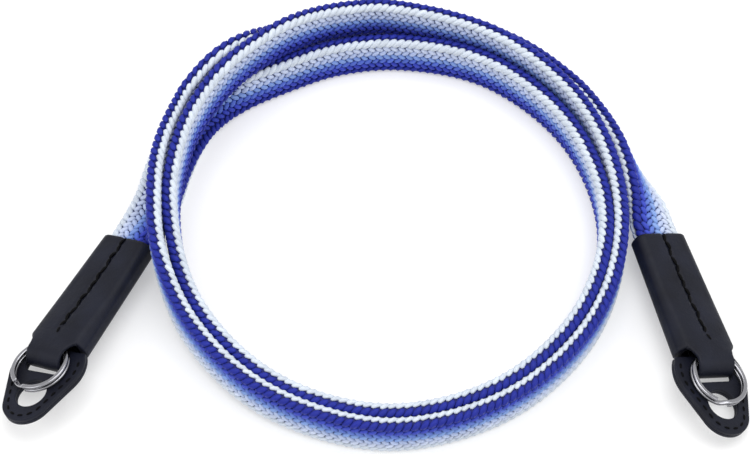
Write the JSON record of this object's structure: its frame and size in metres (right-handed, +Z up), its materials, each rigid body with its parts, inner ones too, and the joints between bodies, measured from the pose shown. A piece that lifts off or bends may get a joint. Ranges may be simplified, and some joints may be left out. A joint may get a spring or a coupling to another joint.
{
  "type": "camera strap",
  "caption": "Flat braided silk camera strap lying coiled on its edge, with a black leather sleeve, a split ring and a leather ring guard at each end.",
  "frame": {"origin": "middle of the lying strap's box, on the plane that it rests on", "axes": "+X to the right as pictured, across both ends; +Y away from the viewer; +Z up"},
  "size_m": [0.1826, 0.126, 0.0241],
  "materials": {
    "silk": "braided, white to royal blue",
    "leather": "semi-matt black",
    "steel": "polished"
  },
  "bodies": {
    "root": {"strap_band": "silk", "end_sleeve_left": "leather", "end_sleeve_right": "leather", "ring_guard_left": "leather", "ring_guard_right": "leather", "split_ring_left": "steel", "split_ring_right": "steel"}
  },
  "joints": []
}
